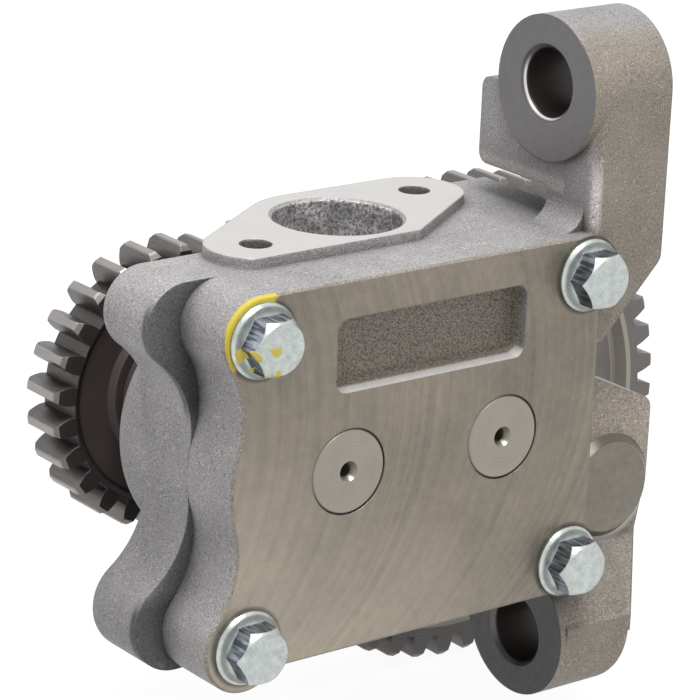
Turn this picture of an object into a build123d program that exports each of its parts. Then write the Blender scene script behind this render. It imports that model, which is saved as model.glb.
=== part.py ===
from build123d import *
from math import acos, atan2, cos, degrees, pi, radians, sin, sqrt, tan
import os

# Engine oil pump: a pair of spur gears in a cast housing, closed by a front cover
# whose two ears bolt to the crankcase. An intermediate gear on the cover's side boss
# turns the drive gear behind the pump.
# Millimetres. The origin is midway between the two ear holes, on the ears' faces that
# meet the crankcase. +X points into the crankcase, +Y to the gears, +Z up.
# In the sketches, x and z are counted from the middle of the four cover screws, and
# depth from the cover's machined face.

# Ears and arms
EAR_SPAN = 144.5
EAR_HOLE_R = 8.6
EAR_R = 18.3
EAR_LENGTH = 25.0
EAR_PROUD = 2.0
EAR_CHAMFER = 1.2
LOBE_SHIFT = 1.3
ARM_SETBACK = 0.1
ARM_EDGE_R = 4.0
UPPER_ARM_REACH = 45.0
UPPER_ARM_TOP = 78.0
UPPER_ARM_UNDER = 55.5
UPPER_ARM_BACK_R = 3.0
UPPER_ARM_RIM_R = 2.0
UPPER_ARM_HEEL = 38.0
UPPER_ARM_HEEL_ANGLE = 46.0
UPPER_ARM_HEEL_R = 4.0
UPPER_ARM_FOOT_R = 6.0
LOWER_ARM_BACK = 35.0
LOWER_ARM_BEND = -57.0
LOWER_ARM_INSET = 1.6
LOWER_ARM_RIGHT = 84.8
WEB_FRONT = 14.5
WEB_BACK = 32.0
WEB_TOP = 11.0
WEB_CORNER = 5.5
WEB_CORNER_R = 4.0

# Front cover
COVER_TO_MOUNT = 74.0
COVER_DROP = 9.5
COVER_T = 18.0
COVER_RIGHT = 55.0
COVER_TOP = 47.5
COVER_LOW = -45.7
COVER_CORNER_R = 5.0
LOW_LEFT_R = 11.7
LOW_RIGHT_R = 9.6
NECK_R = 24.0
FACE_BEVEL = 0.6
RECESS_LEFT, RECESS_RIGHT = -26.5, 30.8
RECESS_LOW, RECESS_HIGH = 19.8, 38.2
RECESS_DEPTH = 5.0
RECESS_CORNER_R = 3.2
RECESS_DRAFT = 12.0

# Pumping gears and their shafts
DRIVE_X = -21.74
PUMP_TEETH = 11
PUMP_MODULE = 4.28
PUMP_ANGLE = 27.0
PUMP_THINNING = 0.3
PUMP_WIDTH = 28.0
SHAFT_R = 10.75
CENTRE_HOLE_R = 1.65
CENTRE_MOUTH_R = 2.6
CENTRE_HOLE_DEPTH = 12.0
KEY_W, KEY_L, KEY_H = 5.0, 18.0, 5.0

# Timing gears
GEAR_MODULE = 2.75
GEAR_ANGLE = 20.0
GEAR_THINNING = 0.12
GEAR_FRONT = 70.5
GEAR_WIDTH = 13.8
TOOTH_BEVEL = 1.4
DRIVE_TEETH = 25
DRIVE_PHASE = 174.4
DRIVE_HUB_R = 19.0
DRIVE_FACE_R = 30.5
DRIVE_FACE_DEPTH = 1.5
IDLER_TEETH = 47
IDLER_DROP = 26.6
IDLER_RIM_R = 57.0
IDLER_RIM_BEVEL = 1.6
IDLER_HUB_R = 23.0
IDLER_WEB_DEPTH = 3.2
BACKLASH_GAP = 0.05

# Housing
FLANGE_T = 20.0
CASE_WALL = 6.0
CASE_BACK = 52.0
CASE_BACK_R = 8.0
LUG_X = -57.5
LOW_LUG_Z = -37.0
LOW_LUG_R = 12.0
LUG_EDGE_R = 3.0
SHOULDER_LEFT, SHOULDER_RIGHT = -20.0, 61.5
SHOULDER_LOW = 14.0
SHOULDER_BACK = 57.0
HUB_R = 19.0
HUB_BACK = 68.0
BLIND_BOSS_R = 17.5
BLIND_BOSS_BACK = 64.0
BUSH_WALL = 2.6
DRIVE_BUSH_LENGTH = 19.0
DRIVEN_BUSH_LENGTH = 14.0

# Ports: the inlet above, the outlet below
PORT_X, PORT_DEPTH = 0.75, 37.4
INLET_R = 16.0
OUTLET_R = 14.0
PORT_FACE = 50.0
PORT_FLOOR = 33.0
PORT_CHAMFER = 0.8
PORT_BOSS_R = 22.0
PORT_FLANGE_T = 13.0
INLET_PCD = 65.0
OUTLET_PCD = 60.0
PORT_TILT = 16.5
PORT_LOBE_R = 12.5
TAP_R = 4.0
TAP_DEPTH = 18.0
DUCT_R = 10.5
DUCT_END = 12.0

# Cover screws and dowels; the screws are upper left and right, lower left and right
SCREWS = [(-48.4, 37.0), (50.0, 37.6), (-50.0, -38.4), (48.4, -37.1)]
SCREW_R = 4.0
SCREW_LENGTH = 36.0
SCREW_HOLE_R = 4.5
HEX_AF = 13.0
HEAD_H = 8.0
FLANGE_R = 9.2
HEAD_FLANGE_H = 1.6
HEAD_CROWN = 1.5
HEAD_FACE_R = 6.1
DOWEL_R = 3.0
DOWEL_LENGTH = 16.0
DOWEL_AT = [(-34.0, -39.0), (38.0, 40.5)]

# Intermediate gear's axle
AXLE_BOSS_R = 14.0
AXLE_PAD_R = 12.0
AXLE_PAD_FRONT = 12.5
AXLE_BOSS_BACK = 64.0
AXLE_SHANK_R = 8.5
AXLE_SHANK_LENGTH = 36.0
AXLE_COLLAR_R = 16.0
AXLE_R = 12.0
IDLER_BUSH_WALL = 2.5
AXLE_SCREW_LENGTH = 20.0
THRUST_R = 18.0
THRUST_T = 3.0

# Drive gear's seat, nut and key
SEAT_R = 9.5
THREAD_R = 8.0
NUT_AF = 24.0
NUT_H = 10.0
WASHER_R = 15.0
WASHER_T = 3.0
NUT_OVERHANG = 2.0
GEAR_KEY_L = 12.0

# Relief valve, across the outlet
VALVE_DEPTH = 50.0
VALVE_Z = -37.0
VALVE_BOSS_R = 11.5
VALVE_BOSS_END = 48.0
VALVE_BORE_R = 7.0
VALVE_SEAT_R = 5.0
VALVE_SEAT_X = 19.0
PISTON_LENGTH = 12.0
PISTON_SKIRT_R = 5.2
PISTON_CROWN = 3.0
SPILL_R = 2.6
SPRING_WIRE_R = 0.9
SPRING_TURNS = 5
PLUG_R = 8.0
PLUG_LENGTH = 9.0
PLUG_AF = 17.0
PLUG_HEAD_H = 5.0
PLUG_RIM_R = 10.5
PLUG_RIM_H = 1.6
SEAL_T = 1.5

# Clearances
RUNNING = 0.04
AXIAL = 0.12
SEATED = 0.02
CASTING_GAP = 1.2

# Places that follow from the sizes above
EAR_DEPTH = ARM_SETBACK + EAR_R
FACE_Y = -EAR_DEPTH
PUMP_PITCH_R = PUMP_MODULE * PUMP_TEETH / 2
PUMP_TIP_R = PUMP_PITCH_R + PUMP_MODULE
DRIVEN_X = DRIVE_X + 2 * PUMP_PITCH_R + BACKLASH_GAP
CHAMBER_R = PUMP_TIP_R + RUNNING
CASE_R = CHAMBER_R + CASE_WALL
CHAMBER_BACK = COVER_T + PUMP_WIDTH + 2 * AXIAL
GEAR_BACK = GEAR_FRONT + GEAR_WIDTH
GEAR_SPACING = GEAR_MODULE * (DRIVE_TEETH + IDLER_TEETH) / 2 + BACKLASH_GAP
IDLER_X = DRIVE_X + sqrt(GEAR_SPACING**2 - IDLER_DROP**2)
EAR_UP = COVER_DROP + EAR_SPAN / 2
EAR_DOWN = COVER_DROP - EAR_SPAN / 2
UPPER_LOBE_Z = EAR_UP - LOBE_SHIFT
LOWER_LOBE_Z = EAR_DOWN + LOBE_SHIFT
MOUNT_X = COVER_TO_MOUNT
EAR_X = MOUNT_X - EAR_LENGTH
ARM_X = EAR_X + EAR_PROUD
UPPER_ARM_FOOT = UPPER_ARM_HEEL - (MOUNT_X - COVER_RIGHT) * tan(radians(UPPER_ARM_HEEL_ANGLE))
AXLE_BOSS_LOW = -IDLER_DROP - AXLE_BOSS_R
PISTON_X = VALVE_SEAT_X + SEATED
PISTON_END = PISTON_X + PISTON_LENGTH
PLUG_X = VALVE_BOSS_END - PLUG_LENGTH
DRIVE_TIP_R = GEAR_MODULE * (DRIVE_TEETH / 2 + 1)
IDLER_TIP_R = GEAR_MODULE * (IDLER_TEETH / 2 + 1)

MESH_ANGLE = degrees(atan2(-IDLER_DROP, IDLER_X - DRIVE_X))
DRIVE_PITCH = 360 / DRIVE_TEETH
TOOTH_LEAD = (DRIVE_PHASE - MESH_ANGLE) % DRIVE_PITCH
IDLER_PHASE = MESH_ANGLE + 180 - TOOTH_LEAD * DRIVE_TEETH / IDLER_TEETH + 180 / IDLER_TEETH

DRIVE_SHAFT_AT = Vector(DRIVE_X, 0)
DRIVEN_SHAFT_AT = Vector(DRIVEN_X, 0)
IDLER_AT = Vector(IDLER_X, -IDLER_DROP)

FRONT = Plane(origin=(-COVER_TO_MOUNT, FACE_Y, -COVER_DROP), x_dir=(1, 0, 0), z_dir=(0, -1, 0))
TOP_LEFT, TOP_RIGHT, LOW_LEFT, LOW_RIGHT = (Vector(*screw) for screw in SCREWS)
TOP_LEFT_R = COVER_TOP - TOP_LEFT.Y
TOP_RIGHT_R = COVER_TOP - TOP_RIGHT.Y
PORTS = [(1, INLET_R, INLET_PCD), (-1, OUTLET_R, OUTLET_PCD)]


# Planes and axes of the sketches

def at_depth(depth):
    """Plane parallel to the cover's face, seen from the front, at a depth behind it."""
    return FRONT.offset(-depth)


def at_height(height):
    """Level plane in x and depth, at a height above the middle of the screws."""
    origin = (-COVER_TO_MOUNT, FACE_Y, -COVER_DROP + height)
    return Plane(origin=origin, x_dir=(1, 0, 0), z_dir=(0, 0, 1))


def at_side(x):
    """Upright plane in depth and height, seen from the right."""
    origin = (-COVER_TO_MOUNT + x, FACE_Y, -COVER_DROP)
    return Plane(origin=origin, x_dir=(0, 1, 0), z_dir=(1, 0, 0))


def along_y(centre):
    """Axis of a part that turns about the depth direction."""
    return Axis((-COVER_TO_MOUNT + centre.X, FACE_Y, -COVER_DROP + centre.Y), (0, 1, 0))


def turn(centre, *points, mode=Mode.ADD):
    """Turned shape about a shaft: points are radius and depth."""
    origin = (-COVER_TO_MOUNT + centre.X, FACE_Y, -COVER_DROP + centre.Y)
    with BuildSketch(Plane(origin=origin, x_dir=(1, 0, 0), z_dir=(0, 0, 1))) as half:
        with BuildLine():
            Polyline(*points, close=True)
        make_face()
    return revolve(half.sketch, axis=along_y(centre), mode=mode)


def turn_valve(*points, mode=Mode.ADD):
    """Turned shape about the relief valve's axis: points are x and radius."""
    origin = (-COVER_TO_MOUNT, FACE_Y + VALVE_DEPTH, -COVER_DROP + VALVE_Z)
    with BuildSketch(Plane(origin=origin, x_dir=(1, 0, 0), z_dir=(0, -1, 0))) as half:
        with BuildLine():
            Polyline(*points, close=True)
        make_face()
    revolve(half.sketch, axis=Axis(origin, (1, 0, 0)), mode=mode)


# Outlines

def unit(vector):
    return vector * (1 / vector.length)


def meeting(a, from_a, b, from_b, side):
    """Point at a distance from each of two others, on one side of the way from a to b."""
    span = (b - a).length
    run = (from_a**2 - from_b**2 + span**2) / (2 * span)
    off = sqrt(from_a**2 - run**2)
    along = unit(b - a)
    across = Vector(along.Y, -along.X) * side
    return a + along * run + across * off


def arc(centre, start, end):
    """Arc of under half a turn about a centre."""
    middle = unit(unit(start - centre) + unit(end - centre)) * (start - centre).length
    ThreePointArc(start, centre + middle, end)


def flank(top, top_r, low, low_r, belly, belly_r, side):
    """Side of a casting: round boss, hollow neck, belly round a shaft, neck, boss."""
    upper_neck = meeting(top, top_r + NECK_R, belly, belly_r + NECK_R, side)
    lower_neck = meeting(belly, belly_r + NECK_R, low, low_r + NECK_R, side)
    top_end = top + unit(upper_neck - top) * top_r
    belly_start = belly + unit(upper_neck - belly) * belly_r
    belly_end = belly + unit(lower_neck - belly) * belly_r
    low_start = low + unit(lower_neck - low) * low_r
    arc(top, top + Vector(0, top_r), top_end)
    arc(upper_neck, top_end, belly_start)
    arc(belly, belly_start, belly_end)
    arc(lower_neck, belly_end, low_start)
    arc(low, low_start, low - Vector(0, low_r))


def housing_outline():
    """Outline of the housing's flange, with its four screw lugs."""
    top_lug, low_lug = Vector(LUG_X, TOP_LEFT.Y), Vector(LUG_X, LOW_LUG_Z)
    with BuildSketch() as face:
        with BuildLine():
            flank(top_lug, TOP_LEFT_R, low_lug, LOW_LUG_R, DRIVE_SHAFT_AT, CASE_R, 1)
            flank(TOP_RIGHT, TOP_RIGHT_R, LOW_RIGHT, LOW_RIGHT_R, DRIVEN_SHAFT_AT, CASE_R, -1)
            Line((LUG_X, COVER_TOP), (TOP_RIGHT.X, COVER_TOP))
            Line(low_lug - Vector(0, LOW_LUG_R), LOW_RIGHT - Vector(0, LOW_RIGHT_R))
        make_face()
    return face.sketch


def involute(base_r, radius):
    """Angle, in degrees, that an involute gains from its base circle to a radius."""
    pressure = acos(base_r / radius)
    return degrees(tan(pressure) - pressure)


def gear_face(teeth, module, pressure_angle, thinning, phase):
    """Toothed face with involute flanks, one tooth centred at the phase angle."""
    pitch_r = module * teeth / 2
    tip_r = pitch_r + module
    root_r = pitch_r - 1.25 * module
    base_r = pitch_r * cos(radians(pressure_angle))
    foot_r = max(root_r, base_r)
    half_tooth = degrees((pi * module / 2 - thinning) / 2 / pitch_r) + involute(base_r, pitch_r)

    def polar(radius, angle):
        return Vector(radius * cos(radians(angle)), radius * sin(radians(angle)))

    def half_angle(radius):
        return half_tooth - involute(base_r, radius)

    with BuildSketch() as face:
        with BuildLine():
            for k in range(teeth):
                centre = phase + 360 / teeth * k
                for side in (-1, 1):
                    foot, middle, tip = (
                        polar(radius, centre + side * half_angle(radius))
                        for radius in (foot_r, (foot_r + tip_r) / 2, tip_r)
                    )
                    ThreePointArc(foot, middle, tip)
                    if foot_r > root_r:
                        Line(polar(root_r, centre + side * half_tooth), foot)
                tip_half = half_angle(tip_r)
                ThreePointArc(
                    polar(tip_r, centre - tip_half), polar(tip_r, centre), polar(tip_r, centre + tip_half)
                )
                root_half = half_angle(foot_r)
                ThreePointArc(
                    polar(root_r, centre + root_half),
                    polar(root_r, centre + 180 / teeth),
                    polar(root_r, centre + 360 / teeth - root_half),
                )
        make_face()
    return face.sketch


def tooth_ends(centre, tip_r):
    """Bevels both ends of a timing gear's teeth."""
    turn(
        centre,
        (0, GEAR_FRONT),
        (tip_r - TOOTH_BEVEL, GEAR_FRONT),
        (tip_r + SEATED, GEAR_FRONT + TOOTH_BEVEL),
        (tip_r + SEATED, GEAR_BACK - TOOTH_BEVEL),
        (tip_r - TOOTH_BEVEL, GEAR_BACK),
        (0, GEAR_BACK),
        mode=Mode.INTERSECT,
    )


def hexagon_bevel(centre, across_flats, start, end):
    """Bevels the corners at the far end of a hexagon that runs from start to end."""
    into = 1 if end > start else -1
    corner_r = across_flats / sqrt(3)
    turn(
        centre,
        (0, start),
        (corner_r, start),
        (corner_r, end - into * (corner_r - across_flats / 2) / 2),
        (across_flats / 2, end),
        (0, end),
        mode=Mode.INTERSECT,
    )


def flanged_screw(centre, seat, into, length):
    """Screw with a flanged hexagon head that stands on a seat and goes in from it."""
    bevelled_flange_r = FLANGE_R - HEAD_FLANGE_H / 2
    corner_r = HEX_AF / sqrt(3)
    top = seat - into * HEAD_H
    with BuildSketch(at_depth(seat)) as head:
        with Locations(centre):
            RegularPolygon(HEX_AF / 2, 6, major_radius=False)
    hexagon = extrude(head.sketch, amount=into * HEAD_H, mode=Mode.PRIVATE)
    crown = turn(
        centre,
        (0, seat),
        (corner_r, seat),
        (corner_r, top + into * HEAD_CROWN),
        (HEAD_FACE_R, top),
        (0, top),
        mode=Mode.PRIVATE,
    )
    add(hexagon & crown)
    turn(
        centre,
        (0, seat),
        (FLANGE_R, seat),
        (FLANGE_R, seat - into * HEAD_FLANGE_H / 2),
        (bevelled_flange_r, seat - into * HEAD_FLANGE_H),
        (HEX_AF / 2, seat - into * (HEAD_FLANGE_H + FACE_BEVEL)),
        (0, seat - into * (HEAD_FLANGE_H + FACE_BEVEL)),
    )
    turn(
        centre,
        (0, seat),
        (SCREW_R, seat),
        (SCREW_R, seat + into * (length - FACE_BEVEL)),
        (SCREW_R - FACE_BEVEL, seat + into * length),
        (0, seat + into * length),
    )


os.makedirs("parts", exist_ok=True)


# Front cover

with BuildPart() as upper_arm:
    with BuildSketch(at_side(ARM_X)):
        with BuildLine():
            Polyline(
                (ARM_SETBACK, UPPER_ARM_FOOT),
                (COVER_T, UPPER_ARM_FOOT),
                (COVER_T, UPPER_ARM_UNDER),
                (UPPER_ARM_REACH, UPPER_ARM_UNDER),
                (UPPER_ARM_REACH, UPPER_ARM_TOP),
                (EAR_DEPTH, UPPER_ARM_TOP),
                (EAR_DEPTH, UPPER_LOBE_Z),
                (ARM_SETBACK, UPPER_LOBE_Z),
                close=True,
            )
        make_face()
        fillet(vertices().group_by(Axis.X)[-1], UPPER_ARM_BACK_R)
    extrude(amount=MOUNT_X - ARM_X)
    with BuildSketch(at_depth(0)):
        with BuildLine():
            Polyline(
                (ARM_X, UPPER_ARM_FOOT),
                (ARM_X, UPPER_LOBE_Z + EAR_R),
                (MOUNT_X, UPPER_LOBE_Z + EAR_R),
                (MOUNT_X, UPPER_ARM_HEEL),
                (COVER_RIGHT, UPPER_ARM_FOOT),
                close=True,
            )
        make_face()
        fillet(vertices().group_by(Axis.X)[-1].sort_by(Axis.Y)[0], UPPER_ARM_HEEL_R)
    extrude(amount=-UPPER_ARM_REACH, mode=Mode.INTERSECT)
    fillet(edges().filter_by(Axis.Z).group_by(Axis.X)[0].sort_by(Axis.Y)[0], ARM_EDGE_R)
    fillet(edges().filter_by(Axis.Y).group_by(Axis.X)[0].sort_by(Axis.Z)[0], UPPER_ARM_RIM_R)

    # Hollow where the arm's side runs into the cover's top
    with BuildSketch(at_depth(ARM_SETBACK + ARM_EDGE_R)):
        with BuildLine():
            hollow = Vector(ARM_X - UPPER_ARM_FOOT_R, COVER_TOP + UPPER_ARM_FOOT_R)
            arc(hollow, hollow - Vector(0, UPPER_ARM_FOOT_R), hollow + Vector(UPPER_ARM_FOOT_R, 0))
            Polyline(
                (ARM_X, COVER_TOP + UPPER_ARM_FOOT_R),
                (ARM_X + UPPER_ARM_FOOT_R, COVER_TOP + UPPER_ARM_FOOT_R),
                (ARM_X + UPPER_ARM_FOOT_R, COVER_TOP - UPPER_ARM_FOOT_R),
                (ARM_X - UPPER_ARM_FOOT_R, COVER_TOP - UPPER_ARM_FOOT_R),
                (ARM_X - UPPER_ARM_FOOT_R, COVER_TOP),
            )
        make_face()
    extrude(amount=ARM_SETBACK + ARM_EDGE_R - COVER_T)

with BuildPart() as lower_ear:
    with BuildSketch(at_side(EAR_X)):
        with Locations((EAR_DEPTH, LOWER_LOBE_Z)):
            Circle(EAR_R)
    extrude(amount=EAR_LENGTH)
    fillet(edges().group_by(Axis.X)[-1], ARM_EDGE_R)

with BuildPart() as lower_arm:
    with BuildSketch(at_side(ARM_X)):
        with BuildLine():
            Polyline(
                (ARM_SETBACK, LOWER_LOBE_Z),
                (ARM_SETBACK, LOWER_ARM_BEND),
                (WEB_FRONT, AXLE_BOSS_LOW),
                (WEB_FRONT, WEB_TOP),
                (WEB_BACK, WEB_TOP),
                (WEB_BACK, AXLE_BOSS_LOW),
                (LOWER_ARM_BACK, LOWER_LOBE_Z),
                close=True,
            )
        make_face()
    extrude(amount=IDLER_X + AXLE_BOSS_R - ARM_X)
    with BuildSketch(at_depth(0)):
        with BuildLine():
            Polyline(
                (ARM_X, LOWER_LOBE_Z),
                (MOUNT_X - LOWER_ARM_INSET, LOWER_LOBE_Z),
                (MOUNT_X - LOWER_ARM_INSET, LOWER_ARM_BEND),
                (LOWER_ARM_RIGHT, AXLE_BOSS_LOW),
                (IDLER_X + AXLE_BOSS_R, -IDLER_DROP),
                (IDLER_X + AXLE_BOSS_R, -WEB_CORNER),
                (ARM_X, WEB_TOP),
                close=True,
            )
        make_face()
        fillet(vertices().group_by(Axis.X)[-1].sort_by(Axis.Y)[-1], WEB_CORNER_R)
    extrude(amount=-LOWER_ARM_BACK - EAR_R, mode=Mode.INTERSECT)

with BuildPart() as front_cover:
    with BuildSketch(at_depth(0)):
        with BuildLine():
            drop = COVER_LOW - LOW_LEFT.Y
            foot = LOW_LEFT + Vector(sqrt(LOW_LEFT_R**2 - drop**2), drop)
            flank(TOP_LEFT, TOP_LEFT_R, LOW_LEFT, LOW_LEFT_R, DRIVE_SHAFT_AT, CASE_R, 1)
            arc(LOW_LEFT, LOW_LEFT - Vector(0, LOW_LEFT_R), foot)
            Polyline(
                (TOP_LEFT.X, COVER_TOP),
                (COVER_RIGHT, COVER_TOP),
                (COVER_RIGHT, COVER_LOW),
                (foot.X, foot.Y),
            )
        make_face()
        fillet(vertices().group_by(Axis.X)[-1], COVER_CORNER_R)
    extrude(amount=-COVER_T)
    chamfer(faces().sort_by(Axis.Y)[0].outer_wire().edges(), FACE_BEVEL)
    with BuildSketch(at_depth(0)):
        with Locations(TOP_RIGHT):
            Circle(TOP_RIGHT_R)
        with Locations(LOW_RIGHT):
            Circle(LOW_RIGHT_R)
    extrude(amount=-COVER_T)
    add(upper_arm.part)
    add(lower_ear.part)
    add(lower_arm.part)
    with BuildSketch(at_side(EAR_X)):
        with Locations((EAR_DEPTH, UPPER_LOBE_Z)):
            Circle(EAR_R)
    extrude(amount=EAR_LENGTH)

    # Behind the parting face the arms keep clear of the housing
    with BuildSketch(at_depth(COVER_T)):
        add(housing_outline())
        offset(amount=CASTING_GAP)
    extrude(amount=-UPPER_ARM_REACH, mode=Mode.SUBTRACT)

    # Boss for the intermediate gear's axle, with a machined pad in front
    turn(
        IDLER_AT,
        (0, AXLE_PAD_FRONT),
        (AXLE_PAD_R, AXLE_PAD_FRONT),
        (AXLE_BOSS_R, AXLE_PAD_FRONT + AXLE_BOSS_R - AXLE_PAD_R),
        (AXLE_BOSS_R, AXLE_BOSS_BACK),
        (0, AXLE_BOSS_BACK),
    )
    shank_end = AXLE_BOSS_BACK - AXLE_SHANK_LENGTH
    turn(
        IDLER_AT,
        (0, shank_end - AXIAL),
        (AXLE_SHANK_R + SEATED, shank_end - AXIAL),
        (AXLE_SHANK_R + SEATED, AXLE_BOSS_BACK),
        (0, AXLE_BOSS_BACK),
        mode=Mode.SUBTRACT,
    )

    # Ear holes
    with BuildSketch(at_side(EAR_X)):
        with Locations((EAR_DEPTH, EAR_UP), (EAR_DEPTH, EAR_DOWN)):
            Circle(EAR_HOLE_R)
    extrude(amount=EAR_LENGTH, mode=Mode.SUBTRACT)
    with BuildSketch(at_side(EAR_X)):
        with Locations((EAR_DEPTH, EAR_UP), (EAR_DEPTH, EAR_DOWN)):
            Circle(EAR_HOLE_R + EAR_CHAMFER)
    extrude(amount=EAR_CHAMFER, taper=45, mode=Mode.SUBTRACT)

    # Bearing bores, screw holes and dowel holes
    with BuildSketch(at_depth(0)):
        with Locations((DRIVE_X, 0), (DRIVEN_X, 0)):
            Circle(SHAFT_R + RUNNING)
        with Locations(*SCREWS):
            Circle(SCREW_HOLE_R)
    extrude(amount=-COVER_T, mode=Mode.SUBTRACT)
    with BuildSketch(at_depth(COVER_T - DOWEL_LENGTH / 2 - AXIAL)):
        with Locations(*DOWEL_AT):
            Circle(DOWEL_R + SEATED)
    extrude(amount=-DOWEL_LENGTH / 2 - AXIAL, mode=Mode.SUBTRACT)

    # Cast recess in the face
    with BuildSketch(at_depth(0)):
        with Locations(((RECESS_LEFT + RECESS_RIGHT) / 2, (RECESS_LOW + RECESS_HIGH) / 2)):
            RectangleRounded(RECESS_RIGHT - RECESS_LEFT, RECESS_HIGH - RECESS_LOW, RECESS_CORNER_R)
    extrude(amount=-RECESS_DEPTH, taper=RECESS_DRAFT, mode=Mode.SUBTRACT)

front_cover.part.label = "front_cover"
export_step(front_cover.part, "parts/front_cover.step")

# Housing

with BuildPart() as housing:
    # Flange with the screw lugs; its back edge is rounded like the casting's
    with BuildSketch(at_depth(COVER_T)):
        add(housing_outline())
    extrude(amount=-FLANGE_T)
    fillet(faces().sort_by(Axis.Y)[-1].edges(), LUG_EDGE_R)

    # Case round the two gears
    with BuildSketch(at_depth(COVER_T)):
        with Locations((DRIVE_X, 0), (DRIVEN_X, 0)):
            Circle(CASE_R)
        make_hull()
    extrude(amount=COVER_T - CASE_BACK)
    fillet(faces().sort_by(Axis.Y)[-1].edges(), CASE_BACK_R)

    # Shoulder behind the inlet
    with BuildSketch(at_depth(COVER_T)):
        with Locations(((SHOULDER_LEFT + SHOULDER_RIGHT) / 2, (SHOULDER_LOW + COVER_TOP) / 2)):
            Rectangle(SHOULDER_RIGHT - SHOULDER_LEFT, COVER_TOP - SHOULDER_LOW)
    extrude(amount=COVER_T - SHOULDER_BACK)
    fillet(faces().sort_by(Axis.Y)[-1].edges(), LUG_EDGE_R)

    # Bearing hub of the drive shaft, and the blind boss of the driven shaft
    turn(
        DRIVE_SHAFT_AT,
        (0, COVER_T),
        (HUB_R + LUG_EDGE_R, COVER_T),
        (HUB_R + LUG_EDGE_R, CASE_BACK),
        (HUB_R, CASE_BACK + LUG_EDGE_R),
        (HUB_R, HUB_BACK - FACE_BEVEL),
        (HUB_R - FACE_BEVEL, HUB_BACK),
        (0, HUB_BACK),
    )
    turn(
        DRIVEN_SHAFT_AT,
        (0, COVER_T),
        (BLIND_BOSS_R, COVER_T),
        (BLIND_BOSS_R, BLIND_BOSS_BACK - LUG_EDGE_R),
        (BLIND_BOSS_R - LUG_EDGE_R, BLIND_BOSS_BACK),
        (0, BLIND_BOSS_BACK),
    )

    # Port flanges
    for up, bore_r, pcd in PORTS:
        lobe = Vector(pcd / 2, 0).rotate(Axis.Z, up * PORT_TILT)
        middle = Vector(PORT_X, PORT_DEPTH)
        with BuildSketch(at_height(up * PORT_FACE)):
            with Locations(middle):
                Circle(PORT_BOSS_R)
            with Locations(middle + lobe, middle - lobe):
                Circle(PORT_LOBE_R)
            make_hull()
            with Locations((PORT_X, COVER_T / 2)):
                Rectangle(2 * pcd, COVER_T + 2 * SEATED, mode=Mode.SUBTRACT)
        extrude(amount=-up * PORT_FLANGE_T)
        with BuildSketch(at_height(up * PORT_FACE)):
            with Locations(middle):
                Circle(PORT_BOSS_R)
            with Locations((PORT_X, COVER_T / 2)):
                Rectangle(2 * pcd, COVER_T + 2 * SEATED, mode=Mode.SUBTRACT)
        extrude(amount=-up * (PORT_FACE - DUCT_END))

    # Relief valve's boss, beside the outlet
    turn_valve(
        (PORT_X, 0),
        (PORT_X, VALVE_BOSS_R),
        (VALVE_BOSS_END, VALVE_BOSS_R),
        (VALVE_BOSS_END, 0),
    )

    # Gear chamber
    with BuildSketch(at_depth(COVER_T)):
        with Locations((DRIVE_X, 0), (DRIVEN_X, 0)):
            Circle(CHAMBER_R)
    extrude(amount=COVER_T - CHAMBER_BACK, mode=Mode.SUBTRACT)

    # Ports and their ducts into the chamber
    for up, bore_r, pcd in PORTS:
        lobe = Vector(pcd / 2, 0).rotate(Axis.Z, up * PORT_TILT)
        middle = Vector(PORT_X, PORT_DEPTH)
        with BuildSketch(at_height(up * PORT_FACE)):
            with Locations(middle):
                Circle(bore_r)
        extrude(amount=-up * (PORT_FACE - PORT_FLOOR), mode=Mode.SUBTRACT)
        with BuildSketch(at_height(up * PORT_FACE)):
            with Locations(middle):
                Circle(bore_r + PORT_CHAMFER)
        extrude(amount=-up * PORT_CHAMFER, taper=45, mode=Mode.SUBTRACT)
        with BuildSketch(at_height(up * PORT_FLOOR)):
            with Locations(((DRIVE_X + DRIVEN_X) / 2, COVER_T + PUMP_WIDTH / 2)):
                Circle(DUCT_R)
        extrude(amount=-up * (PORT_FLOOR - DUCT_END), mode=Mode.SUBTRACT)
        with BuildSketch(at_height(up * PORT_FACE)):
            with Locations(middle + lobe, middle - lobe):
                Circle(TAP_R)
        extrude(amount=-up * TAP_DEPTH, mode=Mode.SUBTRACT)

    # Bearing bores
    turn(
        DRIVE_SHAFT_AT,
        (0, COVER_T),
        (SHAFT_R + BUSH_WALL + SEATED, COVER_T),
        (SHAFT_R + BUSH_WALL + SEATED, HUB_BACK),
        (0, HUB_BACK),
        mode=Mode.SUBTRACT,
    )
    turn(
        DRIVEN_SHAFT_AT,
        (0, COVER_T),
        (SHAFT_R + BUSH_WALL + SEATED, COVER_T),
        (SHAFT_R + BUSH_WALL + SEATED, CHAMBER_BACK + DRIVEN_BUSH_LENGTH),
        (0, CHAMBER_BACK + DRIVEN_BUSH_LENGTH),
        mode=Mode.SUBTRACT,
    )

    # Threads for the cover screws, and the dowel holes
    with BuildSketch(at_depth(COVER_T)):
        with Locations(*SCREWS):
            Circle(SCREW_R + SEATED)
    extrude(amount=-FLANGE_T, mode=Mode.SUBTRACT)
    with BuildSketch(at_depth(COVER_T)):
        with Locations(*DOWEL_AT):
            Circle(DOWEL_R + SEATED)
    extrude(amount=-DOWEL_LENGTH / 2 - AXIAL, mode=Mode.SUBTRACT)

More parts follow.
